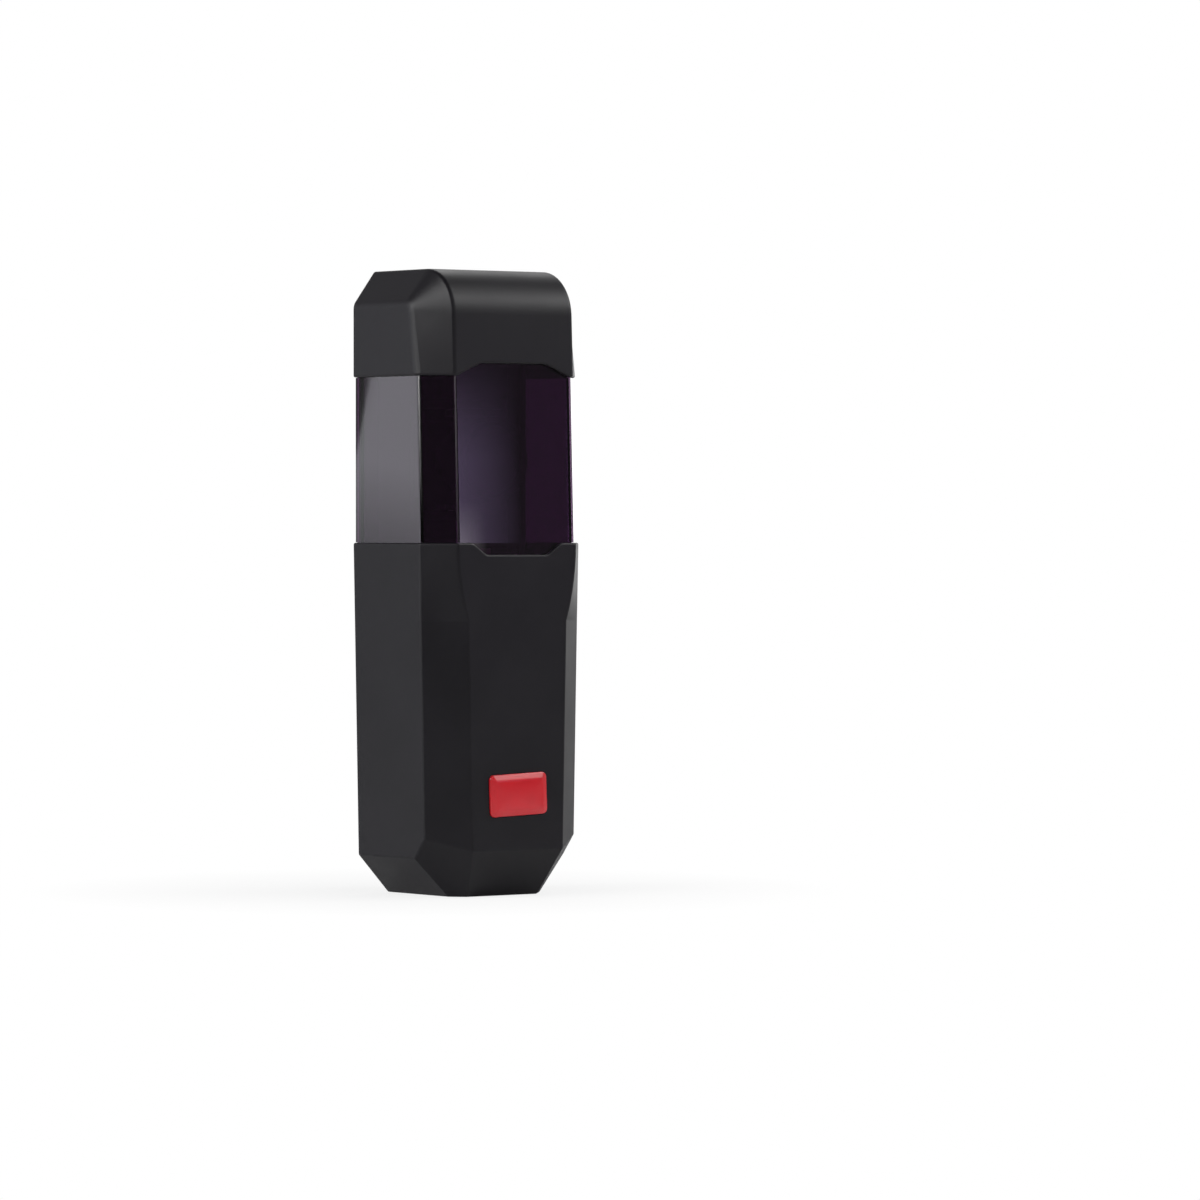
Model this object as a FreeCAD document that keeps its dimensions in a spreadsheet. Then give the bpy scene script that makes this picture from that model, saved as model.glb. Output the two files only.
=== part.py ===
import FreeCAD, Part
import Sketcher
import math
import os
import re

Vector = FreeCAD.Vector

# Driving sizes, in millimetres and degrees
SIZES = {
    # outer form of the housing
    "housing_height": 165.0,
    "housing_width": 52.0,
    "housing_depth": 38.0,
    "crown_lean": 2.3,
    "crown_radius": 12.5,
    "foot_taper": 1.6,
    "foot_bevel": 9.6,
    "foot_bevel_height": 10.3,
    "foot_front_bevel": 7.0,
    "foot_front_height": 12.3,
    "foot_band_bevel": 8.1,
    "foot_band_height": 15.5,
    "band_width": 6.8,
    "band_depth": 8.0,
    "band_depth_crown": 10.1,
    "band_width_foot": 9.7,
    "shoulder_height": 20.5,
    "edge_radius": 1.0,
    "hood_edge_radius": 1.2,
    "hood_side_radius": 3.5,
    "hood_bevel_height": 9.0,
    "window_edge_radius": 1.8,
    "rim_radius": 0.55,
    # split of the front into hood, window and cover
    "hood_height": 28.2,
    "window_height": 43.8,
    "hood_notch_rise": 3.3,
    "hood_notch_margin": 0.9,
    "hood_notch_slope": 7.9,
    "cover_notch_drop": 3.1,
    "cover_notch_margin": 4.9,
    "cover_notch_slope": 4.4,
    "notch_radius": 2.5,
    "seam_gap": 0.1,
    # shell walls
    "shell_wall": 2.2,
    "lip_wall": 1.1,
    "window_recess": 0.7,
    "tongue_play": 0.1,
    "tongue_reach": 3.0,
    # wall tray
    "tray_play": 0.25,
    "tray_plate": 3.0,
    "tray_rim": 9.0,
    "tray_rim_wall": 1.8,
    "fixing_pitch": 128.0,
    "fixing_hole_radius": 2.25,
    "fixing_pad_radius": 5.5,
    "fixing_pad_height": 2.0,
    "back_recess_depth": 0.8,
    "back_recess_inner": 6.0,
    "back_recess_outer": 18.5,
    "back_recess_height": 18.0,
    "back_recess_pitch": 24.0,
    "back_recess_first": -21.0,
    "back_recess_rows": 4,
    "gasket_width": 1.4,
    "gasket_depth": 0.8,
    "gasket_setback": 1.5,
    # cable entry
    "cable_level": -45.0,
    "cable_hole_radius": 8.0,
    "cable_radius": 3.2,
    "grommet_play": 0.1,
    "grommet_flange_radius": 10.0,
    "grommet_flange": 1.2,
    "grommet_nozzle_radius": 5.4,
    "grommet_nozzle": 5.0,
    "grommet_taper": 1.0,
    # hood hooks
    "hook_spacing": 18.0,
    "hook_width": 6.0,
    "hook_thick": 1.6,
    "hook_reach": 3.2,
    "hook_setback": 5.2,
    "hook_play": 0.2,
    # cover screw
    "screw_setback": 8.5,
    "screw_radius": 1.45,
    "screw_length": 9.0,
    "screw_head_radius": 2.9,
    "screw_head": 1.9,
    "screw_slot_width": 1.0,
    "screw_slot_depth": 0.9,
    "screw_recess_play": 0.4,
    "screw_seat": 2.0,
    "screw_seat_radius": 5.0,
    "screw_boss_width": 9.0,
    "screw_boss_height": 8.0,
    "screw_boss_depth": 13.0,
    "screw_play": 0.1,
    # badge
    "badge_width": 18.4,
    "badge_height": 11.1,
    "badge_thick": 1.6,
    "badge_level": -55.6,
    "badge_corner": 1.4,
    "badge_dome": 0.4,
    "badge_edge": 1.05,
    "badge_sink": 0.4,
    "badge_turn": 2.0,
    # main board
    "board_width": 37.0,
    "board_top": 9.0,
    "board_bottom": -37.0,
    "board_thick": 1.6,
    "board_pillar": 7.0,
    "board_pillar_radius": 2.7,
    "board_hole_x": 15.5,
    "board_hole_inset": 5.0,
    "board_screw_radius": 1.2,
    "board_screw_length": 6.0,
    "board_screw_head_radius": 2.4,
    "board_screw_head": 1.6,
    "board_screw_play": 0.1,
    # terminal block
    "terminal_pitch": 5.08,
    "terminal_count": 5,
    "terminal_rise": 9.0,
    "terminal_tall": 10.0,
    "terminal_top_slope": 2.25,
    "terminal_foot_slope": 1.8,
    "terminal_foot_cut": 2.0,
    "terminal_entry": 3.4,
    "terminal_entry_depth": 6.0,
    "terminal_entry_setback": 4.0,
    "terminal_well_rise": 4.3,
    "terminal_well_radius": 1.9,
    "terminal_well_depth": 4.0,
    "terminal_screw_radius": 1.6,
    "terminal_screw_tall": 2.4,
    "terminal_screw_slot": 0.6,
    "terminal_slot_depth": 0.8,
    # parts on the board
    "relay_width": 11.0,
    "relay_length": 19.0,
    "relay_tall": 14.0,
    "relay_edge": 0.8,
    "relay_x": -11.5,
    "relay_z": -14.0,
    "capacitor_radius": 4.0,
    "capacitor_tall": 11.5,
    "capacitor_crimp_level": 1.4,
    "capacitor_crimp_depth": 0.4,
    "capacitor_crimp_width": 1.4,
    "capacitor_x": 1.5,
    "capacitor_z": -19.0,
    "varistor_radius": 4.5,
    "varistor_thick": 3.6,
    "varistor_lift": 1.5,
    "varistor_lead_radius": 0.4,
    "varistor_lead_pitch": 5.0,
    "varistor_x": 13.0,
    "varistor_z": -18.0,
    "chip_length": 8.7,
    "chip_width": 3.9,
    "chip_tall": 1.5,
    "chip_leg": 1.05,
    "chip_leg_width": 0.45,
    "chip_leg_thick": 0.25,
    "chip_leg_pitch": 1.27,
    "chip_leg_count": 7,
    "chip_x": 4.0,
    "chip_z": -7.0,
    "led_radius": 1.5,
    "led_rim_radius": 1.9,
    "led_tall": 4.2,
    "led_rim": 1.0,
    "led_bevel": 0.8,
    "led_x": -8.5,
    "led_z": 4.5,
    "jumper_width": 7.6,
    "jumper_depth": 2.5,
    "jumper_tall": 8.0,
    "jumper_base": 2.5,
    "jumper_link": 5.1,
    "jumper_x": 13.5,
    "jumper_z": -6.5,
    # lead socket and lead
    "socket_width": 8.0,
    "socket_length": 5.0,
    "socket_tall": 8.2,
    "lead_radius": 1.0,
    "lead_entry": 8.0,
    # cradle
    "head_level": 32.4,
    "pivot_setback": 17.5,
    "cradle_width": 18.0,
    "cradle_web": 2.0,
    "cradle_arm": 2.5,
    "cradle_root": 6.0,
    "cradle_root_depth": 5.5,
    "cradle_nose_radius": 8.0,
    "cradle_screw_radius": 1.2,
    "cradle_screw_length": 6.0,
    "cradle_screw_head_radius": 2.4,
    "cradle_screw_head": 1.5,
    "cradle_screw_play": 0.1,
    # optics head
    "tube_radius": 11.2,
    "tube_front": 9.0,
    "tube_barrel": 7.0,
    "tube_tail_radius": 6.2,
    "tube_tail": 4.5,
    "spigot_radius": 5.2,
    "spigot_length": 2.0,
    "tube_wall": 2.0,
    "pivot_root": 8.4,
    "sensor_bore": 3.3,
    "lens_radius": 10.1,
    "lens_play": 0.1,
    "lens_seat_depth": 2.8,
    "lens_flange": 1.5,
    "lens_dome_radius": 9.0,
    "lens_curve": 20.0,
    "ring_wall": 0.95,
    "ring_length": 1.5,
    "sensor_board_thick": 1.0,
    "sensor_board_play": 0.3,
    "diode_radius": 2.4,
    "diode_length": 2.3,
    "diode_nose": 0.9,
    "diode_nose_radius": 1.2,
    "cap_wall": 0.9,
    "cap_play": 0.1,
    "cap_floor": 1.5,
    "cap_bevel": 0.9,
    "pivot_radius": 3.0,
    "pivot_play": 0.15,
    "pivot_neck_radius": 4.5,
    "pivot_bore": 1.7,
    "collar_radius": 7.0,
    "collar_thick": 1.6,
    "collar_gap": 0.3,
    "head_span": 32.0,
}

# Shares of a screw head that are flat on top and straight at the side
HEAD_FLAT = 0.7
HEAD_WALL = 0.5

# What counts as the same place, in millimetres, and as a corner, in degrees
NEAR = 1e-3
CORNER = 12.0

doc = FreeCAD.newDocument("gate_photocell")
sheet = doc.addObject("Spreadsheet::Sheet", "Sizes")
for row, (word, number) in enumerate(SIZES.items(), start=1):
    sheet.set("A%d" % row, word)
    sheet.set("B%d" % row, str(number))
    sheet.setAlias("B%d" % row, word)
doc.recompute()


def size(word):
    return float(sheet.get(word))


def linked(text):
    # every size word in an expression is read from the sheet
    def link(match):
        word = match.group(0)
        return "Sizes." + word if word in SIZES else word
    return re.sub(r"[a-z_]+", link, text)


def bind(item, prop, text):
    item.setExpression(prop, linked(text))


# Levels that several pieces share, as expressions
TOP = "housing_height / 2"
BOTTOM = "-housing_height / 2"
WINDOW_TOP = "(housing_height / 2 - hood_height)"
WINDOW_LOW = "(housing_height / 2 - hood_height - window_height)"
BOARD_BACK = "(tray_plate + board_pillar)"
BOARD_FRONT = "(tray_plate + board_pillar + board_thick)"
SCREW_SEAT_LEVEL = "(-housing_height / 2 + shell_wall + screw_seat)"
ARM_TOP = "(head_level + head_span / 2)"
ARM_LOW = "(head_level - head_span / 2)"

# Half widths of the notches in the edges of the hood and the cover
HOOD_WIDE = "(housing_width / 2 - band_width - hood_notch_margin)"
HOOD_NARROW = "(housing_width / 2 - band_width - hood_notch_margin - hood_notch_slope)"
COVER_WIDE = "(housing_width / 2 - band_width - cover_notch_margin)"
COVER_NARROW = "(housing_width / 2 - band_width - cover_notch_margin - cover_notch_slope)"


# Helpers for sketches and bodies
def new_body(name):
    body = doc.addObject("PartDesign::Body", name)
    body.Label = name
    return body


def origin_feature(body, role):
    for feature in body.Origin.OriginFeatures:
        if feature.Role == role:
            return feature
    raise ValueError(role)


def new_sketch(body, name, role, lift="0", across="0", along="0"):
    sketch = body.newObject("Sketcher::SketchObject", name)
    sketch.AttachmentSupport = [(origin_feature(body, role), "")]
    sketch.MapMode = "FlatFace"
    bind(sketch, "AttachmentOffset.Base.x", across)
    bind(sketch, "AttachmentOffset.Base.y", along)
    bind(sketch, "AttachmentOffset.Base.z", lift)
    return sketch


def place_point(sketch, edge, end, across, along):
    for kind, text in (("DistanceX", across), ("DistanceY", along)):
        number = sketch.addConstraint(Sketcher.Constraint(kind, -1, 1, edge, end, 1.0))
        bind(sketch, "Constraints[%d]" % number, text)


def polygon(sketch, corners):
    first = sketch.GeometryCount
    count = len(corners)
    turns = [2 * math.pi * n / count for n in range(count)]
    start = [Vector(math.cos(turn), math.sin(turn), 0) for turn in turns]
    for n in range(count):
        sketch.addGeometry(Part.LineSegment(start[n], start[(n + 1) % count]), False)
    for n in range(count):
        sketch.addConstraint(Sketcher.Constraint("Coincident", first + n, 2, first + (n + 1) % count, 1))
    for n, (across, along) in enumerate(corners):
        place_point(sketch, first + n, 1, across, along)


def rectangle(sketch, left, right, low, high):
    polygon(sketch, [(left, low), (right, low), (right, high), (left, high)])


def circle(sketch, across, along, radius):
    number = sketch.addGeometry(Part.Circle(Vector(0, 0, 0), Vector(0, 0, 1), 1.0), False)
    place_point(sketch, number, 3, across, along)
    limit = sketch.addConstraint(Sketcher.Constraint("Radius", number, 1.0))
    bind(sketch, "Constraints[%d]" % limit, radius)


def pad(body, sketch, length, both=False, back=False):
    feature = body.newObject("PartDesign::Pad", sketch.Name + "_pad")
    feature.Profile = sketch
    bind(feature, "Length", length)
    feature.SideType = "Symmetric" if both else "One side"
    feature.Reversed = back
    doc.recompute()
    return feature


def pocket(body, sketch, length=None, both=False, back=False):
    before = body.Shape.Volume
    feature = body.newObject("PartDesign::Pocket", sketch.Name + "_pocket")
    feature.Profile = sketch
    if length is None:
        feature.Type = "ThroughAll"
    else:
        bind(feature, "Length", length)
    feature.SideType = "Symmetric" if both else "One side"
    feature.Reversed = back
    doc.recompute()
    if body.Shape.Volume > before - NEAR:
        raise RuntimeError("nothing was cut by " + feature.Name)
    return feature


def revolve(body, sketch, axis):
    feature = body.newObject("PartDesign::Revolution", sketch.Name + "_turn")
    feature.Profile = sketch
    feature.ReferenceAxis = (sketch, [axis])
    feature.Angle = 360
    doc.recompute()
    return feature


def groove(body, sketch, axis):
    before = body.Shape.Volume
    feature = body.newObject("PartDesign::Groove", sketch.Name + "_groove")
    feature.Profile = sketch
    feature.ReferenceAxis = (sketch, [axis])
    feature.Angle = 360
    doc.recompute()
    if body.Shape.Volume > before - NEAR:
        raise RuntimeError("nothing was cut by " + feature.Name)
    return feature


def repeat(body, feature, axis, pitch, count):
    pattern = body.newObject("PartDesign::LinearPattern", feature.Name + "_row")
    pattern.Originals = [feature]
    pattern.Direction = (origin_feature(body, axis), [""])
    bind(pattern, "Length", "(%s) * ((%s) - 1)" % (pitch, count))
    bind(pattern, "Occurrences", count)
    body.Tip = pattern
    doc.recompute()
    return pattern


def edges_where(shape, test):
    return ["Edge%d" % (n + 1) for n, edge in enumerate(shape.Edges) if test(edge)]


def round_edges(body, base, test, radius):
    names = edges_where(base.Shape, test)
    feature = body.newObject("PartDesign::Fillet", base.Name + "_round")
    feature.Base = (base, names)
    bind(feature, "Radius", radius)
    doc.recompute()
    return feature


def along_axis(edge, axis):
    if edge.Curve.TypeId != "Part::GeomLine":
        return False
    direction = edge.tangentAt(edge.FirstParameter)
    return abs(abs(direction.dot(axis)) - 1) < NEAR


# Helpers for plain solids and booleans
def box(name, left, right, back, front, low, high):
    # back and front are distances forward of the wall plane
    item = doc.addObject("Part::Box", name)
    bind(item, "Length", "(%s) - (%s)" % (right, left))
    bind(item, "Width", "(%s) - (%s)" % (front, back))
    bind(item, "Height", "(%s) - (%s)" % (high, low))
    bind(item, "Placement.Base.x", left)
    bind(item, "Placement.Base.y", "-(%s)" % front)
    bind(item, "Placement.Base.z", low)
    return item


def rod(name, radius, length, x, forward, z, upright=False):
    # an upright rod rises from its place; any other runs forward from it
    item = doc.addObject("Part::Cylinder", name)
    bind(item, "Radius", radius)
    bind(item, "Height", length)
    turn = FreeCAD.Rotation() if upright else FreeCAD.Rotation(Vector(1, 0, 0), 90)
    item.Placement = FreeCAD.Placement(Vector(0, 0, 0), turn)
    bind(item, "Placement.Base.x", x)
    bind(item, "Placement.Base.y", "-(%s)" % forward)
    bind(item, "Placement.Base.z", z)
    return item


def fuse(name, pieces):
    item = doc.addObject("Part::MultiFuse", name)
    item.Shapes = pieces
    item.Refine = True
    return item


def common(name, first, second):
    item = doc.addObject("Part::Common", name)
    item.Base = first
    item.Tool = second
    return item


def cut(name, base, tool):
    item = doc.addObject("Part::Cut", name)
    item.Base = base
    item.Tool = tool
    item.Refine = True
    return item


# Outer form: side profile crossed with front profile, then the two corner bands taken off.
# The bands twist and follow an arc at the shoulder, so they are ruled faces.
def inset_outline(points, inset):
    count = len(points)
    moved = []
    for n in range(count):
        before = (points[n] - points[n - 1]).normalize()
        after = (points[(n + 1) % count] - points[n]).normalize()
        normal_before = Vector(-before.y, before.x, 0)
        normal_after = Vector(-after.y, after.x, 0)
        share = inset / (1 + normal_before.dot(normal_after))
        moved.append(points[n] + (normal_before + normal_after) * share)
    return moved


def front_depth(level, window_low, top):
    lean = size("crown_lean") / (top - window_low)
    return size("housing_depth") - lean * max(0.0, level - window_low)


def half_width(level, window_low, break_low):
    flare = size("foot_taper") / (window_low - break_low)
    return size("housing_width") / 2 + flare * min(0.0, level - window_low)


def band_row(half, depth, width, reach, level, inset):
    side_turn = math.atan2(width, reach) / 2
    front_turn = math.pi / 4 - side_turn
    side = Vector(-half + inset, reach - depth + inset * math.tan(side_turn), level)
    front = Vector(-half + width + inset * math.tan(front_turn), inset - depth, level)
    return side, front


def shoulder_arc(start, end):
    # leaves its upper end straight down
    tangent = Vector(0, 0, -1)
    chord = end - start
    inward = chord - tangent * chord.dot(tangent)
    inward.normalize()
    radius = chord.dot(chord) / (2 * chord.dot(inward))
    centre = start + inward * radius
    middle = centre + (start + chord * 0.5 - centre).normalize() * radius
    return Part.Arc(start, middle, end).toShape()


def hood_tools(inset, window_top, window_low, top):
    # the corner band climbs the hood, turns back with the crown and becomes the bevel along the top
    half = size("housing_width") / 2
    width = size("band_width")
    reach = size("band_depth_crown")
    crown = size("crown_radius")
    lean = size("crown_lean")
    rise = top - window_low
    slant = math.hypot(rise, lean)
    inward = Vector(0, rise / slant, -lean / slant)
    back = (crown * slant + (rise - crown) * lean) / rise - size("housing_depth")
    side_turn = math.atan2(width, reach) / 2
    front_turn = math.pi / 4 - side_turn
    side_radius = crown - reach - inset * math.tan(side_turn)
    front_radius = crown - inset
    side_axis = Vector(inset - half, back, top - crown + reach - size("hood_bevel_height"))
    front_axis = Vector(width - half + inset * math.tan(front_turn), back, top - crown)

    side_low, front_low = band_row(half, front_depth(window_top, window_low, top), width, size("band_depth"),
                                   window_top, inset)
    fall = side_low - side_axis
    turn = FreeCAD.Rotation(Vector(1, 0, 0), -math.degrees(math.acos(side_radius / fall.Length)))
    side_way = turn.multVec(fall).normalize()
    upward = Vector(0, 0, 1)
    edges = []
    for axis, radius, low, way in ((side_axis, side_radius, side_low, side_way),
                                   (front_axis, front_radius, front_low, inward * -1)):
        start = axis + way * radius
        middle = axis + (way + upward).normalize() * radius
        end = axis + upward * radius
        climb = Part.LineSegment(low * 2 - start, start)
        bend = Part.Arc(start, middle, end)
        ridge = Part.LineSegment(end, end + Vector(0, 2 * size("housing_depth"), 0))
        edges.append([climb.toShape(), bend.toShape(), ridge.toShape()])
    outward = Vector(-2, -2, 2) * reach
    return [Part.makeRuledSurface(side, front).extrude(outward) for side, front in zip(*edges)]


def foot_tool(side_high, front_high, bottom, inset):
    # below these two points the corner band folds in, as one plane down to the foot
    across = front_high - side_high
    level = Vector(across.x, across.y, 0).normalize()
    inward = Vector(-level.y, level.x, 0)
    low = (side_high + front_high) / 2 + inward * size("foot_band_bevel")
    low.z = bottom
    down = low - (side_high + front_high) / 2
    outward = down.cross(across).normalize()
    corners = [side_high - across, front_high + across, front_high + across + down * 2,
               side_high - across + down * 2]
    face = Part.Face(Part.makePolygon(corners + corners[:1]))
    face.translate(outward * -inset)
    return face.extrude(outward * size("housing_depth"))


def housing_form(name, inset, back):
    item = doc.addObject("Part::Feature", name)
    top = size("housing_height") / 2
    bottom = -top
    window_top = top - size("hood_height")
    window_low = window_top - size("window_height")
    shoulder_low = window_low - size("shoulder_height")
    break_low = bottom + size("foot_bevel_height")
    break_front = bottom + size("foot_front_height")
    depth = size("housing_depth")
    bevel = size("foot_bevel")
    front_bevel = size("foot_front_bevel")
    span = 2 * size("housing_width")

    side = [Vector(back + inset, bottom), Vector(back + inset, top), Vector(size("crown_lean") - depth, top),
            Vector(-depth, window_low), Vector(-depth, break_front), Vector(front_bevel - depth, bottom)]
    side = [Vector(0, point.x, point.y) for point in inset_outline(side, inset)]
    crown = side[2]
    form = Part.Face(Part.makePolygon(side + side[:1])).extrude(Vector(span, 0, 0))
    form.translate(Vector(-span / 2, 0, 0))
    crown_edge = [edge for edge in form.Edges
                  if abs(edge.CenterOfMass.y - crown.y) + abs(edge.CenterOfMass.z - crown.z) < NEAR]
    form = form.makeFillet(size("crown_radius") - inset, crown_edge)

    half = size("housing_width") / 2
    half_foot = half - size("foot_taper")
    right = [Vector(half_foot - bevel, bottom), Vector(half_foot, break_low), Vector(half, window_low),
             Vector(half, top)]
    outline = right + [Vector(-point.x, point.y) for point in reversed(right)]
    outline = [Vector(point.x, span, point.y) for point in inset_outline(outline, inset)]
    form = form.common(Part.Face(Part.makePolygon(outline + outline[:1])).extrude(Vector(0, -2 * span, 0)))

    narrow = size("band_width")
    wide = size("band_width_foot")
    reach = size("band_depth")

    def row_at(level, width, inset):
        half = half_width(level, window_low, break_low)
        return band_row(half, front_depth(level, window_low, top), width, reach, level, inset)

    rows = [row_at(window_top, narrow, inset), row_at(window_low, narrow, inset),
            row_at(shoulder_low, wide, inset), row_at(bottom, wide, inset)]
    outward = Vector(-2 * wide, -2 * reach, 0)
    tools = hood_tools(inset, window_top, window_low, top)
    for (side_high, front_high), (side_low, front_low) in zip(rows, rows[1:]):
        if front_high.z == window_low:
            side_edge = Part.LineSegment(side_high, side_low).toShape()
            face = Part.makeRuledSurface(side_edge, shoulder_arc(front_high, front_low))
        else:
            face = Part.Face(Part.makePolygon([side_high, front_high, front_low, side_low, side_high]))
        tools.append(face.extrude(outward))
    fold_side = row_at(bottom + size("foot_band_height"), wide, 0.0)[0]
    fold_front = row_at(break_front, wide, 0.0)[1]
    tools.append(foot_tool(fold_side, fold_front, bottom, inset))
    for tool in tools:
        form = form.cut(tool)
        form = form.cut(tool.mirror(Vector(0, 0, 0), Vector(1, 0, 0)))
    item.Shape = form.Solids[0]
    return item


def corner_angle(shape, edge):
    # angle between the outward normals of the two faces at an edge, in degrees
    faces = shape.ancestorsOfType(edge, Part.Face)
    if len(faces) != 2:
        return 0.0
    middle = edge.valueAt((edge.FirstParameter + edge.LastParameter) / 2)
    normals = [face.normalAt(*face.Surface.parameter(middle)) for face in faces]
    return math.degrees(normals[0].getAngle(normals[1]))


def round_skin(name, skin, radius, test):
    # rounds the moulded edges of a skin, but not those on the wall plane
    doc.recompute()
    shape = skin.Shape
    chosen = []
    for n, edge in enumerate(shape.Edges):
        if edge.BoundBox.YMin < -NEAR and corner_angle(shape, edge) > CORNER and test(edge):
            chosen.append((n + 1, radius, radius))
    item = doc.addObject("Part::Fillet", name)
    item.Base = skin
    item.Edges = chosen
    doc.recompute()
    return item


BEHIND = size("tray_rim")
form_outer = housing_form("form_outer", 0.0, 0.0)
form_window = housing_form("form_window", size("window_recess"), 0.0)
form_tongue = housing_form("form_tongue", size("lip_wall") + size("tongue_play"), 0.0)
form_lip = housing_form("form_lip", size("lip_wall"), BEHIND)
form_inside = housing_form("form_inside", size("shell_wall"), BEHIND)
form_seal = housing_form("form_seal", size("shell_wall"), 0.0)
TRAY_INSET = size("shell_wall") + size("tray_play")
form_tray = housing_form("form_tray", TRAY_INSET, 0.0)
form_groove = housing_form("form_groove", TRAY_INSET + size("gasket_depth"), BEHIND)
form_tray_inside = housing_form("form_tray_inside", TRAY_INSET + size("tray_rim_wall"), BEHIND)


# Zones of the front, cut through from front to back, with the notches in their edges
def notched_zone(name, outline, corners):
    sketch = doc.addObject("Sketcher::SketchObject", name + "_outline")
    sketch.Placement = FreeCAD.Placement(Vector(0, 0, 0), FreeCAD.Rotation(Vector(1, 0, 0), 90))
    bind(sketch, "Placement.Base.y", "tray_rim")
    polygon(sketch, outline)
    prism = doc.addObject("Part::Extrusion", name + "_prism")
    prism.Base = sketch
    prism.DirMode = "Custom"
    prism.Dir = Vector(0, -1, 0)
    bind(prism, "LengthFwd", "housing_depth + 2 * tray_rim")
    prism.Solid = True
    doc.recompute()

    def at_corner(edge):
        if not along_axis(edge, Vector(0, 1, 0)):
            return False
        place = edge.CenterOfMass
        return any(abs(abs(place.x) - x) + abs(place.z - z) < NEAR for x, z in corners)

    zone = doc.addObject("Part::Fillet", name)
    zone.Base = prism
    radius = size("notch_radius")
    zone.Edges = [(n + 1, radius, radius) for n, edge in enumerate(prism.Shape.Edges) if at_corner(edge)]
    doc.recompute()
    return zone


SIDE = "housing_width"
window_top_level = size("housing_height") / 2 - size("hood_height")
window_low_level = window_top_level - size("window_height")


def notch_corners(level, step, margin, slope):
    wide = size("housing_width") / 2 - size("band_width") - margin
    return [(wide, level), (wide - slope, level + step)]


def hood_corners(gap):
    return notch_corners(window_top_level - gap, size("hood_notch_rise"), size("hood_notch_margin"),
                         size("hood_notch_slope"))


def cover_corners(gap):
    return notch_corners(window_low_level + gap, -size("cover_notch_drop"), size("cover_notch_margin"),
                         size("cover_notch_slope"))


def hood_edge(gap):
    # the lower edge of the hood from left to right, moved down by a gap
    level = WINDOW_TOP + " - " + gap
    notch = level + " + hood_notch_rise"
    return [("-" + HOOD_WIDE, level), ("-" + HOOD_NARROW, notch),
            (HOOD_NARROW, notch), (HOOD_WIDE, level)]


def cover_edge(gap):
    # the upper edge of the cover from left to right, moved up by a gap
    level = WINDOW_LOW + " + " + gap
    notch = level + " - cover_notch_drop"
    return [("-" + COVER_WIDE, level), ("-" + COVER_NARROW, notch),
            (COVER_NARROW, notch), (COVER_WIDE, level)]


def zone_of_hood():
    outline = [("-" + SIDE, WINDOW_TOP)] + hood_edge("0")
    outline += [(SIDE, WINDOW_TOP), (SIDE, TOP + " + shell_wall"), ("-" + SIDE, TOP + " + shell_wall")]
    corners = hood_corners(0.0)
    return notched_zone("hood_zone", outline, corners)


def zone_of_cover():
    outline = [("-" + SIDE, WINDOW_LOW)] + cover_edge("0")
    outline += [(SIDE, WINDOW_LOW), (SIDE, BOTTOM + " - shell_wall"), ("-" + SIDE, BOTTOM + " - shell_wall")]
    corners = cover_corners(0.0)
    return notched_zone("cover_zone", outline, corners)


def zone_of_window():
    gap = size("seam_gap")
    upper = hood_edge("seam_gap")
    lower = cover_edge("seam_gap")
    low = WINDOW_LOW + " + seam_gap"
    high = WINDOW_TOP + " - seam_gap"
    outline = [("-" + SIDE, low)] + lower + [(SIDE, low), (SIDE, high)]
    outline += list(reversed(upper)) + [("-" + SIDE, high)]
    return notched_zone("window_zone", outline, hood_corners(gap) + cover_corners(gap))


TONGUE_TOP = WINDOW_TOP + " + hood_notch_rise + tongue_reach"
TONGUE_LOW = WINDOW_LOW + " - cover_notch_drop - tongue_reach"


# Hood: bevelled cap with a rebate for the window's tongue and two hooks that drop into the tray
def make_top_hood():
    skin = common("hood_skin", form_outer, zone_of_hood())
    floor = window_top_level + size("hood_notch_rise") + size("edge_radius")
    half = size("housing_width") / 2

    def on_side(edge):
        return edge.BoundBox.XMin > half - NEAR or edge.BoundBox.XMax < NEAR - half

    skin = round_skin("hood_softened", skin, size("hood_side_radius"),
                      lambda edge: edge.BoundBox.ZMax > floor and on_side(edge))
    skin = round_skin("hood_rounded", skin, size("hood_edge_radius"),
                      lambda edge: edge.BoundBox.ZMax > floor and not on_side(edge))
    skin = round_skin("hood_rim", skin, size("rim_radius"), lambda edge: edge.BoundBox.ZMax < floor)
    shell = cut("hood_shell", skin, form_inside)
    band = box("hood_rebate_band", "-" + SIDE, SIDE, "-tray_rim", "housing_depth",
               WINDOW_TOP + " - shell_wall", TONGUE_TOP + " + tongue_play")
    rebated = cut("hood_rebated", shell, common("hood_rebate", form_lip, band))
    pieces = [rebated]
    for side, sign in (("left", "-"), ("right", "")):
        centre = "(%shook_spacing / 2)" % sign
        pieces.append(box("hood_hook_" + side, centre + " - hook_width / 2", centre + " + hook_width / 2",
                          "hook_setback", "hook_setback + hook_thick",
                          TOP + " - shell_wall - tray_play - tray_rim_wall - hook_reach",
                          TOP + " - shell_wall"))
    return fuse("top_hood", pieces)


# Window: one wrap-round moulding, with thinner tongues behind the hood and the cover
def make_lens_window():
    pane = common("window_pane", form_window, zone_of_window())
    middle = (window_top_level + window_low_level) / 2
    pane = round_skin("window_rounded", pane, size("window_edge_radius"),
                      lambda edge: edge.BoundBox.ZMin < middle < edge.BoundBox.ZMax)
    band = box("window_tongue_band", "-" + SIDE, SIDE, "-tray_rim", "housing_depth", TONGUE_LOW, TONGUE_TOP)
    tongue = common("window_tongue", form_tongue, band)
    return cut("lens_window", fuse("window_blank", [pane, tongue]), form_inside)


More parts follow.
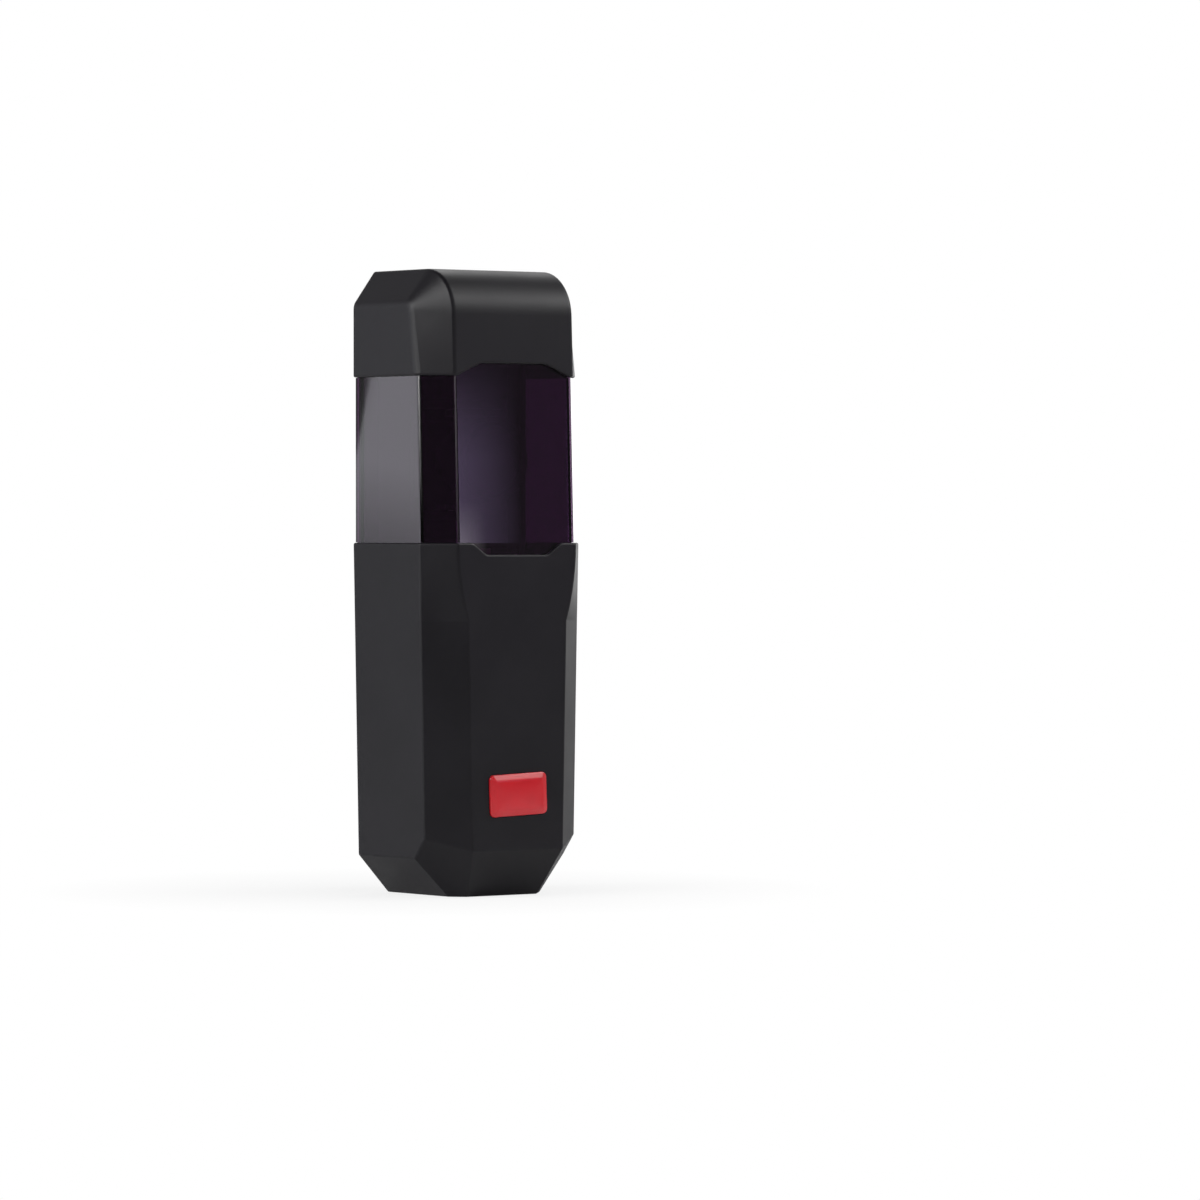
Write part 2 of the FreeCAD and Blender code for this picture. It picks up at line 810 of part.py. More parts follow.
# Cover: lower shell with a rebate for the window, a seat for its screw and a shallow bed for the badge
def make_front_cover():
    skin = common("cover_skin", form_outer, zone_of_cover())
    ceiling = window_low_level - size("cover_notch_drop") - size("edge_radius")
    skin = round_skin("cover_rounded", skin, size("edge_radius"), lambda edge: edge.BoundBox.ZMin < ceiling)
    skin = round_skin("cover_rim", skin, size("rim_radius"), lambda edge: edge.BoundBox.ZMin > ceiling)
    shell = cut("cover_shell", skin, form_inside)
    band = box("cover_rebate_band", "-" + SIDE, SIDE, "-tray_rim", "housing_depth",
               TONGUE_LOW + " - tongue_play", WINDOW_LOW + " + shell_wall")
    rebated = cut("cover_rebated", shell, common("cover_rebate", form_lip, band))
    seat = rod("cover_screw_seat", "screw_seat_radius", "shell_wall / 2 + screw_seat", "0", "screw_setback",
               BOTTOM + " + shell_wall / 2", upright=True)
    seated = fuse("cover_seated", [rebated, seat])
    recess = rod("cover_screw_recess", "screw_head_radius + screw_recess_play", "2 * shell_wall", "0",
                 "screw_setback", BOTTOM + " - shell_wall", upright=True)
    hole = rod("cover_screw_hole", "screw_radius + 2 * screw_play", "3 * shell_wall + screw_seat", "0",
               "screw_setback", BOTTOM + " - shell_wall", upright=True)
    bed = badge_plate("badge_bed", "seam_gap", size("seam_gap"))
    return cut("front_cover", seated, fuse("cover_cuts", [recess, hole, bed]))


def badge_plate(name, play, room):
    # rounded plate that stands in the cover's front face, turned a little as it is stuck on
    plate = doc.addObject("Part::Box", name + "_plate")
    bind(plate, "Length", "badge_width + 2 * " + play)
    bind(plate, "Width", "badge_thick")
    bind(plate, "Height", "badge_height + 2 * " + play)
    bind(plate, "Placement.Base.x", "-(badge_width / 2 + %s)" % play)
    bind(plate, "Placement.Base.y", "badge_sink - badge_thick")
    bind(plate, "Placement.Base.z", "-(badge_height / 2 + %s)" % play)
    doc.recompute()
    rounded = doc.addObject("Part::Fillet", name)
    rounded.Base = plate
    radius = size("badge_corner") + room
    rounded.Edges = [(n + 1, radius, radius) for n, edge in enumerate(plate.Shape.Edges)
                     if along_axis(edge, Vector(0, 1, 0))]
    turn = FreeCAD.Rotation(Vector(0, -1, 0), size("badge_turn"))
    rounded.Placement = FreeCAD.Placement(Vector(0, 0, 0), turn)
    bind(rounded, "Placement.Base.y", "-housing_depth")
    bind(rounded, "Placement.Base.z", "badge_level")
    doc.recompute()
    return rounded


# Badge: plain plate with a domed front
def make_badge():
    plate = badge_plate("badge_blank", "0", 0.0)
    ball = doc.addObject("Part::Sphere", "badge_ball")
    reach = "(badge_width * badge_width + badge_height * badge_height) / 4"
    bind(ball, "Radius", "(%s + badge_dome * badge_dome) / (2 * badge_dome)" % reach)
    bind(ball, "Placement.Base.y", "(%s + badge_dome * badge_dome) / (2 * badge_dome)"
         " + badge_sink - badge_thick - housing_depth" % reach)
    bind(ball, "Placement.Base.z", "badge_level")
    domed = common("badge_domed", plate, ball)
    doc.recompute()
    face = -size("housing_depth")
    radius = size("badge_edge")
    badge = doc.addObject("Part::Fillet", "badge")
    badge.Base = domed
    badge.Edges = [(n + 1, radius, radius) for n, edge in enumerate(domed.Shape.Edges)
                   if edge.BoundBox.YMax < face]
    return badge


# Wall tray: plate and rim, fixing pads, board pillars, screw boss, cable hole and hook slots
def board_holes():
    places = []
    for sign in ("-", ""):
        for level in ("(board_top - board_hole_inset)", "(board_bottom + board_hole_inset)"):
            places.append(("(%sboard_hole_x)" % sign, level))
    return places


def make_wall_base():
    block = common("tray_block", form_tray, box("tray_slab", "-" + SIDE, SIDE, "0", "tray_rim",
                                                BOTTOM, TOP))
    hollow = common("tray_hollow", form_tray_inside, box("tray_hollow_slab", "-" + SIDE, SIDE, "tray_plate",
                                                         "2 * tray_rim", BOTTOM, TOP))
    solids = [cut("tray_shell", block, hollow)]
    holes = []
    for word, level in (("upper", "fixing_pitch / 2"), ("lower", "-fixing_pitch / 2")):
        solids.append(rod("fixing_pad_" + word, "fixing_pad_radius", "tray_plate / 2 + fixing_pad_height",
                          "0", "tray_plate / 2", level))
        holes.append(rod("fixing_hole_" + word, "fixing_hole_radius", "3 * tray_plate + fixing_pad_height",
                         "0", "-tray_plate", level))
    for n, (x, z) in enumerate(board_holes()):
        solids.append(rod("board_pillar_%d" % n, "board_pillar_radius", "board_pillar + tray_plate / 2", x,
                          "tray_plate / 2", z))
        holes.append(rod("board_pilot_%d" % n, "board_screw_radius + board_screw_play", "board_screw_length",
                         x, BOARD_FRONT + " - board_screw_length - board_screw_play", z))
    solids.append(box("screw_boss", "-screw_boss_width / 2", "screw_boss_width / 2", "tray_plate / 2",
                      "screw_boss_depth", SCREW_SEAT_LEVEL + " + screw_play",
                      SCREW_SEAT_LEVEL + " + screw_play + screw_boss_height"))
    holes.append(rod("screw_pilot", "screw_radius + screw_play", "screw_length + 2 * screw_play", "0",
                     "screw_setback", BOTTOM + " + shell_wall", upright=True))
    holes.append(rod("screw_seat_notch", "screw_seat_radius + tray_play",
                     "shell_wall + screw_seat + screw_play", "0", "screw_setback", BOTTOM, upright=True))
    holes.append(rod("cable_hole", "cable_hole_radius", "3 * tray_plate", "0", "-tray_plate", "cable_level"))
    holes.append(rod("cable_recess", "grommet_flange_radius + 2 * grommet_play",
                     "tray_plate + grommet_flange", "0", "-tray_plate", "cable_level"))
    for word, z in cradle_roots():
        holes.append(rod("cradle_screw_hole_" + word, "cradle_screw_radius + 2 * cradle_screw_play",
                         "3 * tray_plate", "0", "-tray_plate", z))
        holes.append(rod("cradle_screw_recess_" + word, "cradle_screw_head_radius + 2 * cradle_screw_play",
                         "tray_plate + cradle_screw_head + cradle_screw_play", "0", "-tray_plate", z))
    for side, sign in (("left", "-"), ("right", "")):
        centre = "(%shook_spacing / 2)" % sign
        holes.append(box("hook_slot_" + side, centre + " - hook_width / 2 - hook_play",
                         centre + " + hook_width / 2 + hook_play", "hook_setback - hook_play",
                         "hook_setback + hook_thick + hook_play",
                         TOP + " - shell_wall - 2 * tray_rim_wall - hook_reach", TOP))
    for row in range(int(size("back_recess_rows"))):
        low = "back_recess_first + %d * back_recess_pitch" % row
        for side, left, right in (("left", "-back_recess_outer", "-back_recess_inner"),
                                  ("right", "back_recess_inner", "back_recess_outer")):
            holes.append(box("back_recess_%s_%d" % (side, row), left, right, "-tray_plate",
                             "back_recess_depth", low, low + " + back_recess_height"))
    ring = box("gasket_slab", "-" + SIDE, SIDE, "gasket_setback", "gasket_setback + gasket_width",
               BOTTOM + " - shell_wall", TOP + " + shell_wall")
    holes.append(cut("gasket_groove", ring, form_groove))
    return cut("wall_base", fuse("tray_solid", solids), fuse("tray_cuts", holes))


def make_base_gasket():
    ring = box("gasket_ring_slab", "-" + SIDE, SIDE, "gasket_setback", "gasket_setback + gasket_width",
               BOTTOM + " - shell_wall", TOP + " + shell_wall")
    return cut("base_gasket", common("gasket_blank", form_seal, ring), form_groove)


def cradle_roots():
    return (("upper", "(%s - cradle_root / 2)" % ARM_TOP), ("lower", "(%s + cradle_root / 2)" % ARM_LOW))


# Cable grommet: turned rubber, clipped into the plate, with a nozzle on the inside
def make_cable_grommet():
    body = new_body("cable_grommet")
    sketch = new_sketch(body, "grommet_profile", "YZ_Plane", along="cable_level")
    neck = "cable_hole_radius - grommet_play"
    outer = "grommet_flange_radius"
    inner_face = "-(tray_plate + grommet_play)"
    polygon(sketch, [
        ("-grommet_play", "cable_radius"),
        ("-grommet_play", outer),
        ("-grommet_flange", outer),
        ("-grommet_flange", neck),
        (inner_face, neck),
        (inner_face, outer),
        (inner_face + " - grommet_flange", outer),
        (inner_face + " - grommet_flange", "grommet_nozzle_radius + grommet_taper"),
        (inner_face + " - grommet_flange - grommet_nozzle", "grommet_nozzle_radius"),
        (inner_face + " - grommet_flange - grommet_nozzle", "cable_radius"),
    ])
    revolve(body, sketch, "H_Axis")
    return body


# Screws: turned head and shank, one solid for each place
def turned_screw(body, name, head_radius, head, radius, length, x, forward, z, backward=False):
    # the head stands on the plane given by forward, on the far side from the shank
    sign = "" if backward else "-"
    other = "-" if backward else ""
    sketch = new_sketch(body, name, "XY_Plane", lift=z, across=x, along="-(%s)" % forward)
    polygon(sketch, [
        ("0", sign + "(%s)" % head),
        ("%s * %s" % (head_radius, HEAD_FLAT), sign + "(%s)" % head),
        (head_radius, sign + "(%s) * %s" % (head, HEAD_WALL)),
        (head_radius, "0"),
        (radius, "0"),
        (radius, other + "(%s)" % length),
        ("0", other + "(%s)" % length),
    ])
    return revolve(body, sketch, "V_Axis")


def single_screw(name, head_radius, head, radius, length, x, forward, z, backward=False):
    body = new_body(name)
    turned_screw(body, name + "_profile", head_radius, head, radius, length, x, forward, z, backward)
    return body


def make_board_screws():
    pieces = []
    for n, (x, z) in enumerate(board_holes()):
        pieces.append(single_screw("board_screw_%d" % n, "board_screw_head_radius", "board_screw_head",
                                   "board_screw_radius", "board_screw_length", x, BOARD_FRONT, z))
    return gather("board_screws", pieces)


def make_cradle_screws():
    pieces = []
    for word, z in cradle_roots():
        pieces.append(single_screw("cradle_screw_" + word, "cradle_screw_head_radius", "cradle_screw_head",
                                   "cradle_screw_radius", "cradle_screw_length", "0",
                                   "cradle_screw_head + cradle_screw_play", z, backward=True))
    return gather("cradle_screws", pieces)


def gather(name, pieces):
    item = doc.addObject("Part::Compound", name)
    item.Links = pieces
    return item


def make_cover_screw():
    body = new_body("cover_screw")
    sketch = new_sketch(body, "cover_screw_profile", "XZ_Plane", lift="screw_setback",
                        along=BOTTOM + " + shell_wall")
    polygon(sketch, [
        ("0", "-screw_head"),
        ("screw_head_radius * %s" % HEAD_FLAT, "-screw_head"),
        ("screw_head_radius", "-screw_head * %s" % HEAD_WALL),
        ("screw_head_radius", "0"),
        ("screw_radius", "0"),
        ("screw_radius", "screw_length"),
        ("0", "screw_length"),
    ])
    revolve(body, sketch, "V_Axis")
    slot = new_sketch(body, "cover_screw_slot", "XY_Plane", lift=BOTTOM + " + shell_wall - screw_head")
    rectangle(slot, "-screw_head_radius", "screw_head_radius", "-screw_setback - screw_slot_width / 2",
              "-screw_setback + screw_slot_width / 2")
    pocket(body, slot, "screw_slot_depth", back=True)
    return body


# Main board with its holes
def make_main_board():
    body = new_body("main_board")
    sketch = new_sketch(body, "board_outline", "XZ_Plane", lift=BOARD_BACK)
    rectangle(sketch, "-board_width / 2", "board_width / 2", "board_bottom", "board_top")
    for x, z in board_holes():
        circle(sketch, x, z, "board_screw_radius + 2 * board_screw_play")
    pad(body, sketch, "board_thick")
    return body


# Terminal block: body with a row of wire entries below and a row of screw wells in front
def make_terminal_block():
    body = new_body("terminal_block")
    half = "terminal_pitch * terminal_count / 2"
    sketch = new_sketch(body, "terminal_profile", "YZ_Plane")
    back = "-" + BOARD_FRONT
    front = "-(%s + terminal_tall)" % BOARD_FRONT
    polygon(sketch, [(back, "board_bottom"), (back, "board_bottom + terminal_rise"),
                     (front, "board_bottom + terminal_rise - terminal_top_slope"),
                     (front, "board_bottom + terminal_foot_slope"),
                     (front + " + terminal_foot_cut", "board_bottom")])
    pad(body, sketch, "terminal_pitch * terminal_count", both=True)
    entry = new_sketch(body, "terminal_entry", "XY_Plane", lift="board_bottom")
    left = "-(%s) + terminal_pitch / 2" % half
    middle = "-(%s + terminal_entry_setback)" % BOARD_FRONT
    rectangle(entry, left + " - terminal_entry / 2", left + " + terminal_entry / 2",
              middle + " - terminal_entry / 2", middle + " + terminal_entry / 2")
    cut_entry = pocket(body, entry, "terminal_entry_depth", back=True)
    repeat(body, cut_entry, "X_Axis", "terminal_pitch", "terminal_count")
    well = new_sketch(body, "terminal_well", "XZ_Plane", lift=BOARD_FRONT + " + terminal_tall")
    circle(well, left, "board_bottom + terminal_well_rise", "terminal_well_radius")
    cut_well = pocket(body, well, "terminal_well_depth")
    repeat(body, cut_well, "X_Axis", "terminal_pitch", "terminal_count")
    return body


def make_terminal_screws():
    pieces = []
    for n in range(int(size("terminal_count"))):
        body = new_body("terminal_screw_%d" % n)
        x = "(%d - (terminal_count - 1) / 2) * terminal_pitch" % n
        z = "(board_bottom + terminal_well_rise)"
        sketch = new_sketch(body, "terminal_screw_round_%d" % n, "XZ_Plane",
                            lift=BOARD_FRONT + " + terminal_tall - terminal_well_depth")
        circle(sketch, x, z, "terminal_screw_radius")
        pad(body, sketch, "terminal_screw_tall")
        slot = new_sketch(body, "terminal_screw_slot_%d" % n, "XZ_Plane",
                          lift=BOARD_FRONT + " + terminal_tall - terminal_well_depth + terminal_screw_tall")
        rectangle(slot, x + " - 2 * terminal_screw_radius", x + " + 2 * terminal_screw_radius",
                  z + " - terminal_screw_slot / 2", z + " + terminal_screw_slot / 2")
        pocket(body, slot, "terminal_slot_depth")
        pieces.append(body)
    return gather("terminal_screws", pieces)


# Parts soldered on the front of the board
def make_relay():
    body = new_body("relay")
    sketch = new_sketch(body, "relay_outline", "XZ_Plane", lift=BOARD_FRONT)
    rectangle(sketch, "relay_x - relay_width / 2", "relay_x + relay_width / 2",
              "relay_z - relay_length / 2", "relay_z + relay_length / 2")
    block = pad(body, sketch, "relay_tall")
    back = -(size("tray_plate") + size("board_pillar") + size("board_thick"))
    round_edges(body, block, lambda edge: edge.CenterOfMass.y < back - NEAR, "relay_edge")
    return body


def make_capacitor():
    body = new_body("smoothing_capacitor")
    sketch = new_sketch(body, "capacitor_profile", "XY_Plane", lift="capacitor_z", across="capacitor_x",
                        along="-" + BOARD_FRONT)
    neck = "capacitor_radius - capacitor_crimp_depth"
    polygon(sketch, [
        ("0", "0"),
        ("capacitor_radius", "0"),
        ("capacitor_radius", "-capacitor_crimp_level"),
        (neck, "-capacitor_crimp_level - capacitor_crimp_width / 2"),
        ("capacitor_radius", "-capacitor_crimp_level - capacitor_crimp_width"),
        ("capacitor_radius", "capacitor_crimp_depth - capacitor_tall"),
        (neck, "-capacitor_tall"),
        ("0", "-capacitor_tall"),
    ])
    revolve(body, sketch, "V_Axis")
    return body


def make_varistor():
    body = new_body("surge_varistor")
    centre = "-(%s + varistor_lift + varistor_radius)" % BOARD_FRONT
    disc = new_sketch(body, "varistor_disc", "YZ_Plane", lift="varistor_x")
    circle(disc, centre, "varistor_z", "varistor_radius")
    pad(body, disc, "varistor_thick", both=True)
    legs = new_sketch(body, "varistor_legs", "XZ_Plane", lift=BOARD_FRONT)
    for sign in ("-", "+"):
        circle(legs, "varistor_x", "varistor_z %s varistor_lead_pitch / 2" % sign, "varistor_lead_radius")
    pad(body, legs, "varistor_lift + varistor_radius")
    return body


def make_controller():
    body = new_body("controller_chip")
    lift = BOARD_FRONT + " + chip_leg_thick"
    sketch = new_sketch(body, "chip_outline", "XZ_Plane", lift=lift)
    rectangle(sketch, "chip_x - chip_length / 2", "chip_x + chip_length / 2",
              "chip_z - chip_width / 2", "chip_z + chip_width / 2")
    pad(body, sketch, "chip_tall")
    first = "chip_x - chip_leg_pitch * (chip_leg_count - 1) / 2"
    leg = new_sketch(body, "chip_leg", "XZ_Plane", lift=BOARD_FRONT)
    rectangle(leg, first + " - chip_leg_width / 2", first + " + chip_leg_width / 2",
              "chip_z - chip_width / 2 - chip_leg", "chip_z + chip_width / 2 + chip_leg")
    strip = pad(body, leg, "chip_leg_thick")
    repeat(body, strip, "X_Axis", "chip_leg_pitch", "chip_leg_count")
    return body


def make_led():
    body = new_body("alignment_led")
    sketch = new_sketch(body, "led_profile", "XY_Plane", lift="led_z", across="led_x",
                        along="-" + BOARD_FRONT)
    polygon(sketch, [
        ("0", "0"),
        ("led_rim_radius", "0"),
        ("led_rim_radius", "-led_rim"),
        ("led_radius", "-led_rim"),
        ("led_radius", "led_bevel - led_tall"),
        ("led_radius - led_bevel", "-led_tall"),
        ("0", "-led_tall"),
    ])
    revolve(body, sketch, "V_Axis")
    return body


def make_jumper():
    body = new_body("mode_jumper")
    base = new_sketch(body, "jumper_base", "XZ_Plane", lift=BOARD_FRONT)
    rectangle(base, "jumper_x - jumper_width / 2", "jumper_x + jumper_width / 2",
              "jumper_z - jumper_depth / 2", "jumper_z + jumper_depth / 2")
    pad(body, base, "jumper_base")
    link = new_sketch(body, "jumper_link", "XZ_Plane", lift=BOARD_FRONT)
    rectangle(link, "jumper_x - jumper_width / 2", "jumper_x - jumper_width / 2 + jumper_link",
              "jumper_z - jumper_depth / 2", "jumper_z + jumper_depth / 2")
    pad(body, link, "jumper_tall")
    return body


# Socket on the pivot line, and the lead that rises from it into the hollow lower pivot
def make_socket():
    body = new_body("lead_socket")
    sketch = new_sketch(body, "socket_outline", "XZ_Plane", lift=BOARD_FRONT)
    rectangle(sketch, "-socket_width / 2", "socket_width / 2", "board_top - socket_length", "board_top")
    pad(body, sketch, "socket_tall")
    return body


def make_lead():
    return rod("head_lead", "lead_radius", "%s - board_top + lead_entry" % ARM_LOW, "0", "pivot_setback",
               "board_top", upright=True)


# Cradle: web on the tray, two arms with pivot bores
def make_cradle():
    body = new_body("swivel_cradle")
    back = "-tray_plate"
    web = "-(tray_plate + cradle_web)"
    root = "-(tray_plate + cradle_root_depth)"
    nose = "-(pivot_setback + cradle_nose_radius)"
    sketch = new_sketch(body, "cradle_profile", "YZ_Plane")
    polygon(sketch, [
        (back, ARM_LOW),
        (nose, ARM_LOW),
        (nose, ARM_LOW + " + cradle_arm"),
        (root, ARM_LOW + " + cradle_arm"),
        (root, ARM_LOW + " + cradle_root"),
        (web, ARM_LOW + " + cradle_root"),
        (web, ARM_TOP + " - cradle_root"),
        (root, ARM_TOP + " - cradle_root"),
        (root, ARM_TOP + " - cradle_arm"),
        (nose, ARM_TOP + " - cradle_arm"),
        (nose, ARM_TOP),
        (back, ARM_TOP),
    ])
    frame = pad(body, sketch, "cradle_width", both=True)
    tip = -(size("pivot_setback") + size("cradle_nose_radius"))
    round_edges(body, frame,
                lambda edge: along_axis(edge, Vector(0, 0, 1)) and abs(edge.CenterOfMass.y - tip) < NEAR,
                "cradle_nose_radius")
    bore = new_sketch(body, "cradle_bore", "XY_Plane", lift="head_level")
    circle(bore, "0", "-pivot_setback", "pivot_radius + pivot_play")
    pocket(body, bore, "2 * head_span", both=True)
    pilots = new_sketch(body, "cradle_pilots", "XZ_Plane", lift="tray_plate")
    for word, z in cradle_roots():
        circle(pilots, "0", z, "cradle_screw_radius + cradle_screw_play")
    pocket(body, pilots, "cradle_screw_length", back=True)
    return body


# Optics head, turned about the optical axis, with pivots above and below
def head_sketch(body, name):
    return new_sketch(body, name, "YZ_Plane", across="-pivot_setback", along="head_level")


def make_head_tube():
    body = new_body("head_tube")
    seat = "lens_radius + lens_play"
    shoulder = "-(tube_front - lens_seat_depth)"
    spigot_end = "tube_tail + spigot_length"
    profile = head_sketch(body, "tube_profile")
    polygon(profile, [
        ("-tube_front", "0"),
        ("-tube_front", "tube_radius"),
        ("tube_barrel - tube_front", "tube_radius"),
        ("tube_tail", "tube_tail_radius"),
        ("tube_tail", "spigot_radius"),
        (spigot_end, "spigot_radius"),
        (spigot_end, "0"),
    ])
    revolve(body, profile, "H_Axis")
    for word, side in (("upper", 1), ("lower", -1)):
        sign = "" if side > 0 else "-"
        pivot = new_sketch(body, "pivot_" + word, "XZ_Plane", lift="pivot_setback", along="head_level")
        inner = "(head_span / 2 - cradle_arm - collar_gap - collar_thick)"
        outer = "(head_span / 2 - cradle_arm - collar_gap)"
        polygon(pivot, [
            ("0", sign + "pivot_root"),
            ("pivot_neck_radius", sign + "pivot_root"),
            ("pivot_neck_radius", sign + inner),
            ("collar_radius", sign + inner),
            ("collar_radius", sign + outer),
            ("pivot_radius", sign + outer),
            ("pivot_radius", sign + "(head_span / 2)"),
            ("0", sign + "(head_span / 2)"),
        ])
        revolve(body, pivot, "V_Axis")
    inside = head_sketch(body, "tube_inside")
    polygon(inside, [
        ("-tube_front", "0"),
        ("-tube_front", seat),
        (shoulder, seat),
        (shoulder, "tube_radius - tube_wall"),
        ("tube_tail", "sensor_bore"),
        (spigot_end, "sensor_bore"),
        (spigot_end, "0"),
    ])
    groove(body, inside, "H_Axis")
    wire_way = new_sketch(body, "lead_way", "XY_Plane", lift="head_level - head_span / 2")
    circle(wire_way, "0", "-pivot_setback", "pivot_bore")
    pocket(body, wire_way, "head_span / 2", back=True)
    return body


def head_rod(name, radius, back, front):
    # a rod on the optical axis; back and front are measured forward of the pivot line
    return rod(name, radius, "(%s) - (%s)" % (front, back), "0", "pivot_setback + (%s)" % back, "head_level")


LENS_BACK = "tube_front - lens_seat_depth"
LENS_FLANGE = "tube_front - lens_seat_depth + lens_flange"
SPIGOT_END = "-(tube_tail + spigot_length)"


def make_objective_lens():
    flange = head_rod("lens_flange_disc", "lens_radius", LENS_BACK, LENS_FLANGE)
    ball = doc.addObject("Part::Sphere", "lens_ball")
    bind(ball, "Radius", "lens_curve")
    rise = "sqrt(lens_curve * lens_curve - lens_dome_radius * lens_dome_radius)"
    bind(ball, "Placement.Base.y", "%s - (pivot_setback + %s)" % (rise, LENS_FLANGE))
    bind(ball, "Placement.Base.z", "head_level")
    core = head_rod("lens_core", "lens_dome_radius", LENS_FLANGE, LENS_FLANGE + " + lens_curve")
    return fuse("objective_lens", [flange, common("lens_dome", ball, core)])


def make_lens_ring():
    outside = head_rod("ring_outside", "lens_radius", LENS_FLANGE, LENS_FLANGE + " + ring_length")
    inside = head_rod("ring_inside", "lens_radius - ring_wall", LENS_FLANGE + " - ring_length",
                      LENS_FLANGE + " + 2 * ring_length")
    return cut("lens_ring", outside, inside)


def make_sensor_board():
    return head_rod("sensor_board", "spigot_radius - sensor_board_play", SPIGOT_END + " - sensor_board_thick",
                    SPIGOT_END)


def make_photodiode():
    body = new_body("photodiode")
    sketch = head_sketch(body, "diode_profile")
    base = "tube_tail + spigot_length"
    polygon(sketch, [
        (base, "0"),
        (base, "diode_radius"),
        (base + " - diode_length + diode_nose", "diode_radius"),
        (base + " - diode_length", "diode_nose_radius"),
        (base + " - diode_length", "0"),
    ])
    revolve(body, sketch, "H_Axis")
    return body


def make_head_rear_cap():
    body = new_body("head_rear_cap")
    sketch = head_sketch(body, "cap_profile")
    mouth = "tube_tail + cap_play"
    floor = "tube_tail + spigot_length + sensor_board_thick + cap_play"
    inner = "spigot_radius + cap_play"
    outer = "spigot_radius + cap_play + cap_wall"
    polygon(sketch, [
        (mouth, inner),
        (mouth, outer),
        (floor + " + cap_floor - cap_bevel", outer),
        (floor + " + cap_floor", outer + " - cap_bevel"),
        (floor + " + cap_floor", "0"),
        (floor, "0"),
        (floor, inner),
    ])
    revolve(body, sketch, "H_Axis")
    return body


# Every sub-part, in the order of assembly
nodes = [
    make_wall_base(), make_base_gasket(), make_cable_grommet(), make_main_board(), make_board_screws(),
    make_terminal_block(), make_terminal_screws(), make_relay(), make_capacitor(), make_varistor(),
    make_controller(), make_led(), make_jumper(), make_socket(), make_lead(), make_cradle(),
    make_cradle_screws(), make_head_tube(), make_objective_lens(), make_lens_ring(), make_sensor_board(),
    make_photodiode(), make_head_rear_cap(), make_lens_window(), make_top_hood(), make_front_cover(),
    make_badge(), make_cover_screw(),
]
doc.recompute()

# Every object has to be sound before the files are written
for item in doc.Objects:
    if "Invalid" in item.State or "Error" in item.State:
        raise RuntimeError("%s did not build" % item.Name)
os.makedirs("parts", exist_ok=True)
for node in nodes:
    shape = node.Shape
    if shape.isNull() or not shape.isValid():
        raise RuntimeError("%s is not a sound solid" % node.Label)
    print("%-20s %10.1f mm3  %d solids" % (node.Label, shape.Volume, len(shape.Solids)))
    shape.exportStep("parts/%s.step" % node.Label)
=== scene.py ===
import math

import bpy
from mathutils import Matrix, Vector


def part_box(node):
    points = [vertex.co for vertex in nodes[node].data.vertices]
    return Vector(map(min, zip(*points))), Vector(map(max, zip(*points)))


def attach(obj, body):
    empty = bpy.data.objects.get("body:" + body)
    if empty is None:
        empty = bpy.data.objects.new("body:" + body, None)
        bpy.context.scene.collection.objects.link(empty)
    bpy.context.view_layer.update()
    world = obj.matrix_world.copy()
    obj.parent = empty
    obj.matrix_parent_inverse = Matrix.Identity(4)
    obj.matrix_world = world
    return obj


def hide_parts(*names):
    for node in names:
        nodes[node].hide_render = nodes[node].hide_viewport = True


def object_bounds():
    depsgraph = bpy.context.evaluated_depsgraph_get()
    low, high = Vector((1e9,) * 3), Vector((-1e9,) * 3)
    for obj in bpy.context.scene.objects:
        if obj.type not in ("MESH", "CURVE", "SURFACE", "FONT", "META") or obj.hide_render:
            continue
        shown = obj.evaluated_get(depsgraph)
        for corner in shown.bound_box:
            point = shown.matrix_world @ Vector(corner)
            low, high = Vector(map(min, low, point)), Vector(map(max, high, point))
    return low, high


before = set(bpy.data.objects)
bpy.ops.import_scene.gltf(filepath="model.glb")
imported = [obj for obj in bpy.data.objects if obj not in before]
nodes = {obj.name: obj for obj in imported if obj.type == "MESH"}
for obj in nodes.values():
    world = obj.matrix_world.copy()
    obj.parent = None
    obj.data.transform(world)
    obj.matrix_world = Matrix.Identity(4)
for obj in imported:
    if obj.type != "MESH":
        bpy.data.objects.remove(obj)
cad_low, cad_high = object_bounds()
scene = bpy.context.scene
scene.view_settings.view_transform = "Standard"

WHITE = (1.0, 1.0, 1.0, 1.0)
RIGHT_ANGLE = math.pi / 2

# Camera: eye level, from the front left, with the part left of the middle of the picture
PHOTO_SIDE = 1200
CAMERA_AZIMUTH = 36.0
CAMERA_DISTANCE = 1.631
CAMERA_FOCAL = 6152.0
CAMERA_REACH = 50.0
EYE_LEVEL = 0.0168
PART_PIXEL_X = 476.5
HORIZON_PIXEL_Y = 519.0
SENSOR = 36.0


def make_camera():
    data = bpy.data.cameras.new("camera")
    data.sensor_width = SENSOR
    data.lens = CAMERA_FOCAL / PHOTO_SIDE * SENSOR
    data.clip_end = CAMERA_REACH
    camera = bpy.data.objects.new("camera", data)
    scene.collection.objects.link(camera)
    heading = math.radians(CAMERA_AZIMUTH)
    middle_y = (cad_low.y + cad_high.y) / 2
    camera.location = (-math.sin(heading) * CAMERA_DISTANCE,
                       middle_y - math.cos(heading) * CAMERA_DISTANCE, EYE_LEVEL)
    pan = math.atan((PHOTO_SIDE / 2 - PART_PIXEL_X) / CAMERA_FOCAL)
    pitch = math.atan((PHOTO_SIDE / 2 - HORIZON_PIXEL_Y) / CAMERA_FOCAL)
    camera.rotation_euler = (RIGHT_ANGLE - pitch, 0.0, -heading - pan)
    scene.camera = camera


# Node helpers; a noise texture keeps mostly between the two levels
NOISE_LOW = 0.3
NOISE_HIGH = 0.7
NOISE_ROUGHNESS = 0.55


